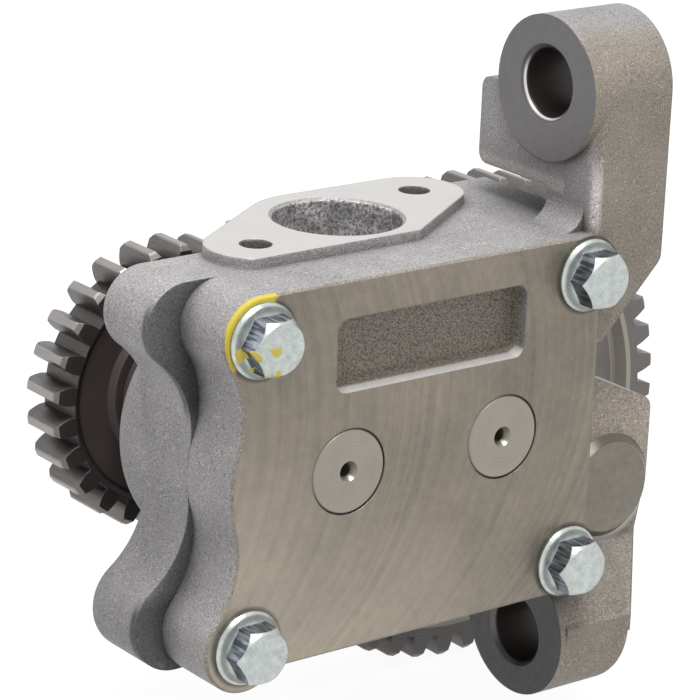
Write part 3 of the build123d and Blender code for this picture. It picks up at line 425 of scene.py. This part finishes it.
class CoverIron(Finish):
    """Iron of the front cover, with the noises and masks that its places share."""

    def __init__(self, look):
        super().__init__("cover_iron")
        self.look = look
        self.depth = self.y - COVER_FACE
        self.level = self.between(-self.ny, 0.9, 0.99)
        self.cloud = self.noise(34 * MM, detail=3)
        self.mottle = self.noise(2.4 * MM, detail=4, rough=0.7)
        drop = self.z - MILL_TRACK_Z
        swept = self.x - (MILL_TRACK_R * MILL_TRACK_R - drop * drop).root()
        self.coarse = self.streaks(swept, 2.6 * MM)
        self.fine = self.streaks(swept, 0.35 * MM)

    def cast_tint(self):
        """Colour of the cast skin, with a warmer tint as painted front light, painted shade on the
        tops, a lighter flat by the boss and painted highlights on the upper arm's edges.
        """
        look = self.look
        # Painted light: faces turned to the front get the warmer skin, faces turned away the
        # greyer one
        turned_away = self.between(-self.ny, 0.8, 0.3)
        on_arms = self.depth > ARMS_FROM
        tint = self.blend(turned_away, tuple(look.front_lit_skin), tuple(look.housing_skin))
        # Painted shade: up-facing tops of the upper arm are darker
        top_shade = self.between(self.nz, 0.4, 0.9) * (self.z > CROWN_FROM)
        tint = self.shade(tint, 1 - top_shade * 0.2)
        flat = self.between(self.x - IDLER_AXIS.x, *BOSS_FLAT_LEFT)
        from_flat = abs(self.z - IDLER_AXIS.z - BOSS_FLAT_RISE)
        flat = flat * self.between(from_flat, *BOSS_FLAT_FADE)
        tint = self.shade(tint, 1 + flat * on_arms * 0.45)
        # Painted highlights along the upper arm's under edge and at its foot
        above = self.z - UPPER_ARM_UNDER
        hem_highlight = self.between(above, *HEM_START) * self.between(above, *HEM_FADE)
        hem_highlight = hem_highlight * turned_away * on_arms
        corner = self.between(-self.nx, 0.25, 0.6) * self.between(-self.nx, 0.97, 0.8)
        corner = corner * self.between(-self.ny, 0.1, 0.4)
        foot_highlight = corner * self.between(abs(above), *FOOT_FADE)
        return self.blend((hem_highlight * 0.45).most(foot_highlight * 0.75), tint, tuple(look.edge_highlight))

    def milled_face(self):
        """Mask and colour of the milled face, lighter towards the lower left as a painted
        reflection, with a painted shadow line round each screw.
        """
        mask = self.level * self.between(self.depth, 0.07 * MM, 0.02 * MM)
        low_left = (self.x - COVER_CENTRE.x) * 0.7 + (self.z - COVER_CENTRE.z) * 0.9
        tone = self.coarse * 0.28 + self.fine * 0.22 + self.cloud * 0.62 + self.mottle * 0.36
        # Painted reflection: the face is lighter towards the lower left
        tone = tone + self.between(low_left, 0, -75 * MM, 0, 0.45)
        # Painted shadow just outside each screw's flange
        outside = self.from_screws() - SCREW_FLANGE_R
        tone = tone * self.between(outside, 0.3 * MM, 1.3 * MM, 0.45, 1)
        warm = self.blend(self.cloud, tuple(self.look.milled), tuple(self.look.warm_milled))
        return mask, self.shade(warm, tone)

    def window(self):
        """Masks and colours of the sunk window's rough floor and the painted highlight on its
        up-facing ledge.
        """
        depth = self.depth
        floor = self.level * (abs(depth - WINDOW_DEPTH) < WINDOW_ROUGHNESS)
        speck = self.between(self.noise(0.5 * MM, detail=3, rough=0.7), 0.32, 0.68, 0.3, 1.2)
        wide = (self.x > WINDOW_LOW.x) * (WINDOW_HIGH.x - self.x > 0)
        high = (self.z > WINDOW_LOW.z) * (WINDOW_HIGH.z - self.z > 0)
        inside = wide * high * (depth < WINDOW_DEPTH + WINDOW_ROUGHNESS)
        wall = inside * self.between(depth, *WINDOW_WALL_FROM)
        # Painted highlight on the up-facing ledge of the window's wall
        ledge_highlight = inside * (depth > 0.1 * MM) * self.between(self.nz, 0.2, 0.6)
        ledge_highlight = ledge_highlight * self.between(depth, WINDOW_LEDGE, WINDOW_LEDGE - 1 * MM)
        ledge_highlight = ledge_highlight * (0.5 + self.mottle * 0.5)
        return (
            (floor.most(wall), self.shade(tuple(self.look.front_lit_skin), speck)),
            (ledge_highlight, tuple(self.look.pale_milled_and_highlight)),
        )

    def boss(self):
        """Masks and colours of the axle boss: a painted highlight in a crescent below the pad, its
        faced pad, and the pad's rim with a painted glint on its left and painted shade on its
        right.
        """
        look = self.look
        gap = self.from_axis(IDLER_AXIS, "y")
        right = self.x - IDLER_AXIS.x
        pad = self.level * (gap < PAD_R + PAD_BEVEL)
        tone = self.shade(tuple(look.milled), 0.35 + self.mottle * 0.5 + self.cloud * 0.15)
        rim = self.between(gap, PAD_R, PAD_R + PAD_BEVEL) * (gap < PAD_R + 2 * MM)
        rim = rim * self.between(-self.ny, 0.5, 0.65) * (1 - self.level)
        # Painted glint on the left of the pad's rim, painted shade on its right
        glint = self.shade(tuple(look.milled), self.between(right, -3 * MM, -8 * MM, 0.45, 1.5))
        # Painted highlight: a pale crescent below the pad
        below = self.between(right * 0.5 - (self.z - IDLER_AXIS.z), 4 * MM, 8 * MM)
        crescent_highlight = below * self.between(gap, PAD_R + 4 * MM, PAD_R + 2 * MM) * (1 - pad)
        return (crescent_highlight, tuple(look.pale_milled_and_highlight)), (pad, tone), (rim, glint)

    def ears(self):
        """Masks and colours of the ears: their ground ends, darker towards the bottom as painted
        shade, the holes' mouths with a painted glint, and the holes.
        """
        look = self.look
        gap = self.from_axis((0, 0, EAR_Z), "x").least(self.from_axis((0, 0, -EAR_Z), "x"))
        ends = (abs(self.x + EAR_LENGTH) < NEAR).most(abs(self.x) < NEAR)
        face = self.between(abs(self.nx), 0.97, 0.995) * ends
        hole = gap < EAR_HOLE_R + 0.2 * MM
        mouth = (gap < EAR_HOLE_R + EAR_MOUTH) * (1 - hole) * (1 - face)
        ring = self.streaks(gap, 0.4 * MM)
        # Painted shade: the ear ends are darker towards the bottom
        ear_lower_shade = self.between(self.z, 20 * MM, -20 * MM)
        tone = 0.65 + ring * 0.3 + self.mottle * 0.35 + self.cloud * 0.2 - ear_lower_shade * 0.6
        # Painted glint: a thin bright crescent at the upper hole's mouth
        mouth_glint = self.between(gap, EAR_HOLE_R + 0.8 * MM, EAR_HOLE_R + 0.5 * MM)
        mouth_glint = mouth_glint * self.between(self.y * 0.7 + EAR_Z - self.z, -2 * MM, 6 * MM)
        lip = self.shade(tuple(look.ear_face_dark_reflection), 0.6 + ring * 0.4 + mouth_glint * (self.z > 0) * 4)
        ground = self.shade(tuple(look.ear_face_dark_reflection), tone)
        return (face, ground), (mouth, lip), (hole, tuple(look.bore_and_hub_shade))

    def dab(self):
        """Mask of the paint dab, an arc round the upper left of one screw."""
        rise = self.z - PAINTED_SCREW.z
        reach = self.from_axis(PAINTED_SCREW, "y") + self.noise(3 * MM) * 1.2 * MM
        reach = reach - self.between(rise, 0, 8 * MM, 0, 1.1 * MM)
        upper = rise * 0.7 - (self.x - PAINTED_SCREW.x)
        mask = self.between(reach, DAB_R, DAB_R - 0.3 * MM) * self.between(upper, 2 * MM, 4 * MM)
        return mask * (self.depth < 1 * MM)


class OILPUMP_OT_cover(bpy.types.Operator):
    """Finishes the front cover: cast arms, milled face, ground ears and a paint dab, with painted
    highlights, reflections and shade
    """

    bl_idname = "oilpump.cover"
    bl_label = "Finish Cover"

    def execute(self, context):
        look = context.scene.oilpump_casting
        f = CoverIron(look)
        skin, roughness, sand = cast_skin(f, look, f.cast_tint())
        crescent_highlight, pad, pad_rim = f.boss()
        face, mouth, hole = f.ears()
        milled = f.milled_face()
        dab = f.dab()
        base = skin
        paint = (dab, tuple(look.paint))
        for mask, tone in (crescent_highlight, *f.window(), milled, pad, face, mouth, pad_rim, hole, paint):
            base = f.blend(mask, base, tone)
        smooth = (milled[0] + pad[0] + pad_rim[0] + face[0] + hole[0] + mouth[0]).least(1)
        rough = roughness * (1 - smooth) + (0.3 + f.fine * 0.1) * smooth + dab * 0.1
        height = sand * (1 - smooth) + (f.fine * 0.03 + f.coarse * 0.02) * smooth
        metal = (0.35 + smooth * 0.35) * (1 - dab)
        normal = f.bump(height, look.grain_depth, f.rounded(look.edge))
        iron = f.surface(Base_Color=base, Roughness=rough, Metallic=metal, Normal=normal)
        dress(iron, "front_cover")
        return {"FINISHED"}


class OILPUMP_OT_housing(bpy.types.Operator):
    """Finishes the housing: cast skin, milled port faces, painted shade in the hollows, towards
    the bottom and on the hub behind the drive gear, and painted light on the port flange's edge
    """

    bl_idname = "oilpump.housing"
    bl_label = "Finish Housing"

    def execute(self, context):
        look = context.scene.oilpump_casting
        f = Finish("housing_iron")
        skin, roughness, sand = cast_skin(f, look, tuple(look.housing_skin))
        low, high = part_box("housing")
        depth = f.y - COVER_FACE
        rise = f.z - COVER_CENTRE.z

        ends = f.between(f.z, high.z - NEAR, high.z - 0.15 * MM)
        ends = ends + f.between(f.z, low.z + NEAR, low.z + 0.15 * MM)
        face = f.between(abs(f.nz), 0.97, 0.995) * ends.least(1)
        lines = f.streaks(f.x + f.y * 0.2, 0.5 * MM)
        milled = 0.88 + lines * 0.16 + f.noise(14 * MM) * 0.12

        # Painted light on the side edge of the port flange
        brim_light = f.between(f.z, high.z - PORT_FLANGE_EDGE - 1 * MM, high.z - PORT_FLANGE_EDGE)
        brim_light = brim_light * f.between(f.nz, 0.6, 0.2)
        brim_light = brim_light * (f.from_axis(PORT_AXIS, "z") < PORT_FLANGE_R)
        # Painted shade in the hollows before the left lugs
        left = f.between(f.x - COVER_CENTRE.x, *HOLLOW_SIDE)
        by_lugs = f.between(rise, *UPPER_HOLLOW).most(f.between(rise, *LOWER_HOLLOW))
        far_end = f.between(-f.ny, 0.2, 0.6, *HOLLOW_BACK)
        lug_hollow_shade = f.between(depth - far_end, 0, -2 * MM) * f.between(depth, *HOLLOW_FRONT)
        lug_hollow_shade = lug_hollow_shade * by_lugs * left * f.between(f.nz, 0.7, 0.3) * (1 - brim_light)
        # Painted shade: the housing is darker towards the bottom
        bottom_shade = f.between(f.z, *BOTTOM_SHADE_FADE, 1, 0.74)
        skin = f.shade(skin, bottom_shade * (1 - lug_hollow_shade * 0.8) * (1 + brim_light * 1.2))

        duct = f.from_axis(PORT_AXIS, "z") < DUCT_R
        speck = f.between(f.noise(0.9 * MM, detail=4, rough=0.85), 0.36, 0.64, 0.35, 2)
        speck = speck * f.between(f.noise(5 * MM), 0.35, 0.65, 0.7, 1.2)
        # Painted shade: the hub behind the drive gear is near-black
        hub_shade = (f.from_axis(DRIVE_AXIS, "y") < HUB_R) * (depth > HUB_END)

        base = f.blend(face, skin, f.shade(tuple(look.pale_milled_and_highlight), milled))
        base = f.blend(duct, base, f.shade(tuple(look.housing_skin), speck))
        base = f.blend(hub_shade, base, tuple(look.bore_and_hub_shade))
        rough = roughness * (1 - face) + 0.34 * face
        metal = 0.35 + face * 0.25
        height = sand * (1 - face) + lines * face * 0.04
        normal = f.bump(height, look.grain_depth, f.rounded(look.edge))
        iron = f.surface(Base_Color=base, Roughness=rough, Metallic=metal, Normal=normal)
        dress(iron, "housing")
        return {"FINISHED"}


def toothed_steel(name, look, node, axis, face_shade_r=None, rim_r=None):
    """Hobbed gear steel; inside one radius, if given, its front and hub are painted near-black as
    shade, and round another, if given, a pale band is painted as light.
    """
    low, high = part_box(node)
    outer = (high.x - low.x) / 2
    f = Finish(name)
    out = f.from_axis(axis, "y")
    end = f.between(abs(f.ny), 0.85, 0.97)
    turned = f.streaks(out, 0.5 * MM)
    hobbed = f.noise(0.6 * MM, place=f.stretch((1, 0.15, 1)))
    cloud = f.noise(12 * MM, detail=3)
    # Painted highlight on the tooth tips and painted shade at the roots
    tip_highlight = f.between(out, outer - 0.5 * MM, outer - 0.15 * MM, 0, 0.8)
    root = f.between(out, outer - 2 * MM, outer - 6 * MM, 0, 0.3)
    flanks = f.shade(tuple(look.gear), 0.4 + hobbed * 0.4 + cloud * 0.35 + tip_highlight - root)
    ends = f.shade(tuple(look.gear), 0.4 + turned * 0.3 + cloud * 0.35)
    metal = 0.85
    rough = 0.3 + cloud * 0.14
    # Painted shade: the front face and the hub within the radius are near-black
    if face_shade_r:
        front = f.between(-f.ny, 0.85, 0.97)
        within = f.between(out, face_shade_r, face_shade_r - 1 * MM)
        inner = within * (f.y < (low.y + high.y) / 2)
        face_shade = inner.most(within * front)
        tip = f.between(out, face_shade_r, face_shade_r + 2 * MM)
        shaded_face = f.shade(tuple(look.gear_face_shade), 0.4 + turned * 0.3 + cloud * 0.3)
        ends = f.blend(front * (1 - tip * 0.6), ends, shaded_face)
        flanks = f.blend(inner, flanks, shaded_face)
        metal = metal - face_shade * 0.6
        rough = rough + face_shade * 0.25
    base = f.blend(end, flanks, ends)
    if rim_r:
        # Painted light: a pale band by the idler's rim, where the web's shade falls
        rim = f.between(out, rim_r - 3.4 * MM, rim_r - 3 * MM)
        rim = rim * f.between(out, rim_r + 1.6 * MM, rim_r + 1.4 * MM) * (f.y < low.y + 4 * MM)
        base = f.blend(rim * 0.8, base, tuple(look.shaft))
        base = f.shade(base, f.between(f.z - axis.z, -20 * MM, -50 * MM, 1, 0.66))
    height = hobbed * (1 - end) * 0.6 + turned * end * 0.4
    normal = f.bump(height, 0.03 * MM, f.rounded(0.25 * MM))
    return f.surface(Base_Color=base, Roughness=rough, Metallic=metal, Normal=normal)


class OILPUMP_OT_gears(bpy.types.Operator):
    """Finishes the toothed wheels"""

    bl_idname = "oilpump.gears"
    bl_label = "Finish Gears"

    def execute(self, context):
        look = context.scene.oilpump_steel
        wheels = (
            ("idler_steel", IDLER_AXIS, None, IDLER_RIM_R, ["intermediate_gear"]),
            ("pump_drive_steel", DRIVE_AXIS, None, None, ["pump_drive_gear", "pump_gear_key"]),
            ("pump_driven_steel", DRIVEN_AXIS, None, None, ["pump_driven_gear"]),
            ("drive_gear_steel", DRIVE_AXIS, FACE_SHADE_R, None, ["drive_gear", "drive_gear_key"]),
        )
        for name, axis, face_shade_r, rim_r, nodes in wheels:
            dress(toothed_steel(name, look, nodes[0], axis, face_shade_r, rim_r), *nodes)
        return {"FINISHED"}


def turned_steel(name, tint, axis, end_r=None, hole_r=None):
    """Turned or ground steel with rings round an axis, dark at a faced end's rim and hole."""
    f = Finish(name)
    out = f.from_axis(axis, "y")
    rings = f.streaks(out, 0.45 * MM)
    cloud = f.noise(7 * MM, detail=3)
    tone = 0.68 + rings * 0.24 + cloud * 0.24
    if end_r:
        end = f.between(abs(f.ny), 0.9, 0.99)
        tone = tone * (1 - end * f.between(out, end_r - 0.5 * MM, end_r - 0.15 * MM) * 0.7)
        tone = tone * f.between(out, hole_r, hole_r + 0.3 * MM, 0.04, 1)
    base = f.shade(tint, tone)
    rough = 0.3 + cloud * 0.1
    normal = f.bump(rings, 0.015 * MM, f.rounded(0.2 * MM))
    return f.surface(Base_Color=base, Roughness=rough, Metallic=0.7, Normal=normal)


class OILPUMP_OT_shafts(bpy.types.Operator):
    """Finishes the shafts, the axle and the bushes"""

    bl_idname = "oilpump.shafts"
    bl_label = "Finish Shafts"

    def execute(self, context):
        look = context.scene.oilpump_steel
        shaft, ground, bronze = tuple(look.shaft), tuple(look.ground), tuple(look.bronze)
        turned = (
            ("axle_steel", ground, IDLER_AXIS, ["intermediate_axle", "axle_thrust_washer"]),
            ("pin_steel", ground, DRIVE_AXIS, ["locating_dowels", "drive_gear_washer"]),
            ("drive_bronze", bronze, DRIVE_AXIS, ["drive_shaft_bush"]),
            ("driven_bronze", bronze, DRIVEN_AXIS, ["driven_shaft_bush"]),
            ("idler_bronze", bronze, IDLER_AXIS, ["intermediate_bush"]),
        )
        for name, tint, axis, nodes in turned:
            dress(turned_steel(name, tint, axis), *nodes)
        for node, axis in (("drive_shaft", DRIVE_AXIS), ("driven_shaft", DRIVEN_AXIS)):
            dress(turned_steel(node + "_steel", shaft, axis, SHAFT_R, CENTRE_HOLE_R), node)
        return {"FINISHED"}


def plated(name, tint, roughness, drawn_and_shaded_tint=None, paint=None):
    """Plated or phosphated steel. Screws also get drawn head sides, darkened as painted reflection
    and shade, and, on one, spots of paint.
    """
    f = Finish(name)
    cloud = f.noise(2.2 * MM, detail=3)
    fine = f.noise(0.35 * MM)
    tone = 0.35 + cloud * 0.7 + fine * 0.5
    metal = 1.0
    if paint:
        proud = COVER_FACE - f.y
        # Head sides: drawn streaks on a darker tint that is painted reflection, darker on the
        # lower sides as painted shade
        side = f.between(abs(f.ny), 0.5, 0.2) * (proud > SCREW_FLANGE_H)
        drawn = f.noise(0.9 * MM, place=f.stretch((1, 0.12, 1)))
        streak = f.between(drawn, 0.38, 0.64, 0.45, 1.6) * f.between(f.nz, -0.4, 0.8, 0.5, 1)
        flange = f.between(proud, SCREW_FLANGE_H, SCREW_FLANGE_H - 0.4 * MM)
        inside = f.from_screws() - SCREW_FLANGE_R
        tone = tone * (1 - flange * (0.5 - f.between(inside, -0.9 * MM, -0.4 * MM) * 0.55))
        tint = f.blend(side, tint, f.shade(drawn_and_shaded_tint, streak))
    base = f.shade(tint, tone)
    if paint:
        near = f.from_axis(PAINTED_SCREW, "y") < SPOTS_R
        low = f.between(f.z - PAINTED_SCREW.z, 1.5 * MM, 0) * (PAINTED_SCREW.x - f.x > -1 * MM)
        low = low * (f.y < COVER_FACE)
        spots = f.between(f.noise(3 * MM, detail=0), 0.58, 0.61) * near * low
        base = f.blend(spots, base, paint)
        metal = 1 - spots
    rough = roughness + cloud * 0.14
    normal = f.bump(cloud * 0.6 + fine * 0.4, 0.03 * MM, f.rounded(0.35 * MM))
    return f.surface(Base_Color=base, Roughness=rough, Metallic=metal, Normal=normal)


class OILPUMP_OT_fasteners(bpy.types.Operator):
    """Finishes the screws, the nut and the relief valve"""

    bl_idname = "oilpump.fasteners"
    bl_label = "Finish Fasteners"

    def execute(self, context):
        look = context.scene.oilpump_steel
        paint = tuple(context.scene.oilpump_casting.paint)
        zinc = plated("zinc", tuple(look.zinc), 0.26, tuple(look.drawn_and_shaded_zinc), paint)
        dress(zinc, "cover_screws", "axle_screw")
        dress(plated("dark_nut", tuple(look.dark), 0.38), "drive_gear_nut", "relief_plug")
        dress(plated("spring_wire", tuple(look.ground), 0.3), "relief_spring", "relief_piston")
        dress(plated("copper", tuple(look.copper), 0.35), "relief_seal")
        return {"FINISHED"}


class OILPUMP_OT_spring(bpy.types.Operator):
    """Stands in for the relief spring with a copy of its coil, fixed to the pump body"""

    bl_idname = "oilpump.spring"
    bl_label = "Fit Relief Spring"

    def execute(self, context):
        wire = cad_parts["relief_spring"].data.copy()
        coil = bpy.data.objects.new("relief_coil", wire)
        context.scene.collection.objects.link(coil)
        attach(coil, "pump_body")
        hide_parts("relief_spring")
        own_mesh(coil)
        return {"FINISHED"}


class OILPUMP_OT_stage(bpy.types.Operator):
    """Sets the floor, the lights, the white surroundings and the camera"""

    bl_idname = "oilpump.stage"
    bl_label = "Set Stage"

    def execute(self, context):
        look = context.scene.oilpump_stage
        scene = context.scene
        scene.view_settings.view_transform = "Standard"
        self.floor(scene, look)
        self.surroundings(scene, look)
        self.lamps(scene, look)
        self.camera(scene, look)
        return {"FINISHED"}

    def floor(self, scene, look):
        low, high = -FLOOR_HALF, FLOOR_HALF
        square = ((low, low), (high, low), (high, high), (low, high))
        corners = [(x, y, CAD_BOX[0].z) for x, y in square]
        mesh = bpy.data.meshes.new("floor")
        mesh.from_pydata(corners, [], [(0, 1, 2, 3)])
        floor = bpy.data.objects.new("floor", mesh)
        scene.collection.objects.link(floor)
        f = Finish("pale_floor")
        plain = f.node("BsdfDiffuse", values={"Color": (*look.floor, 1)})
        shadowed = f.node("BsdfDiffuse", values={"Color": SHADOW_GREY})
        glow = f.node("Emission", values={"Color": WHITE, "Strength": FLOOR_GLOW})
        bright = f.node("AddShader", values=[shadowed, glow])
        mesh.materials.append(f.close(f.node("MixShader", values=[f.seen(), plain, bright])))

    def surroundings(self, scene, look):
        world = bpy.data.worlds.new("studio")
        scene.world = world
        world.use_nodes = True
        f = Finish(None, world.node_tree)
        seen = f.seen()
        strength = seen + (1 - seen) * look.ambient
        f.close(f.node("Background", values={"Color": WHITE, "Strength": strength}), "World")

    def lamps(self, scene, look):
        centre = (CAD_BOX[0] + CAD_BOX[1]) / 2
        data = bpy.data.lights.new("key", "AREA")
        data.size = 1
        data.energy = look.key
        lamp = bpy.data.objects.new("key", data)
        lamp.location = centre + LAMP_OFFSET
        lamp.rotation_mode = "QUATERNION"
        lamp.rotation_quaternion = (-LAMP_OFFSET).to_track_quat("-Z", "Y")
        scene.collection.objects.link(lamp)

    def camera(self, scene, look):
        data = bpy.data.cameras.new("camera")
        data.lens = look.lens
        data.sensor_width = 36
        data.clip_end = 20
        camera = bpy.data.objects.new("camera", data)
        turn = Matrix((CAMERA_RIGHT, CAMERA_UP, CAMERA_BACK)).transposed().to_4x4()
        camera.matrix_world = Matrix.Translation(CAMERA_AT) @ turn
        scene.collection.objects.link(camera)
        scene.camera = camera


OPERATORS = (
    OILPUMP_OT_cover,
    OILPUMP_OT_housing,
    OILPUMP_OT_gears,
    OILPUMP_OT_shafts,
    OILPUMP_OT_fasteners,
    OILPUMP_OT_spring,
    OILPUMP_OT_stage,
)


class OILPUMP_PT_looks(bpy.types.Panel):
    """Lists the steps that dress the oil pump"""

    bl_label = "Oil Pump"
    bl_space_type = "VIEW_3D"
    bl_region_type = "UI"
    bl_category = "Oil Pump"

    def draw(self, context):
        for step in OPERATORS:
            self.layout.operator(step.bl_idname)
        for group in ("oilpump_casting", "oilpump_steel", "oilpump_stage"):
            look = getattr(context.scene, group)
            for name in look.bl_rna.properties.keys():
                if name not in ("rna_type", "name"):
                    self.layout.prop(look, name)


CLASSES = (CastingLook, SteelLook, StageLook, *OPERATORS, OILPUMP_PT_looks)


def register():
    for cls in CLASSES:
        bpy.utils.register_class(cls)
    bpy.types.Scene.oilpump_casting = bpy.props.PointerProperty(type=CastingLook)
    bpy.types.Scene.oilpump_steel = bpy.props.PointerProperty(type=SteelLook)
    bpy.types.Scene.oilpump_stage = bpy.props.PointerProperty(type=StageLook)


def unregister():
    del bpy.types.Scene.oilpump_stage
    del bpy.types.Scene.oilpump_steel
    del bpy.types.Scene.oilpump_casting
    for cls in reversed(CLASSES):
        bpy.utils.unregister_class(cls)


def main():
    register()
    for step in OPERATORS:
        family, name = step.bl_idname.split(".")
        getattr(getattr(bpy.ops, family), name)()


if __name__ == "__main__":
    main()
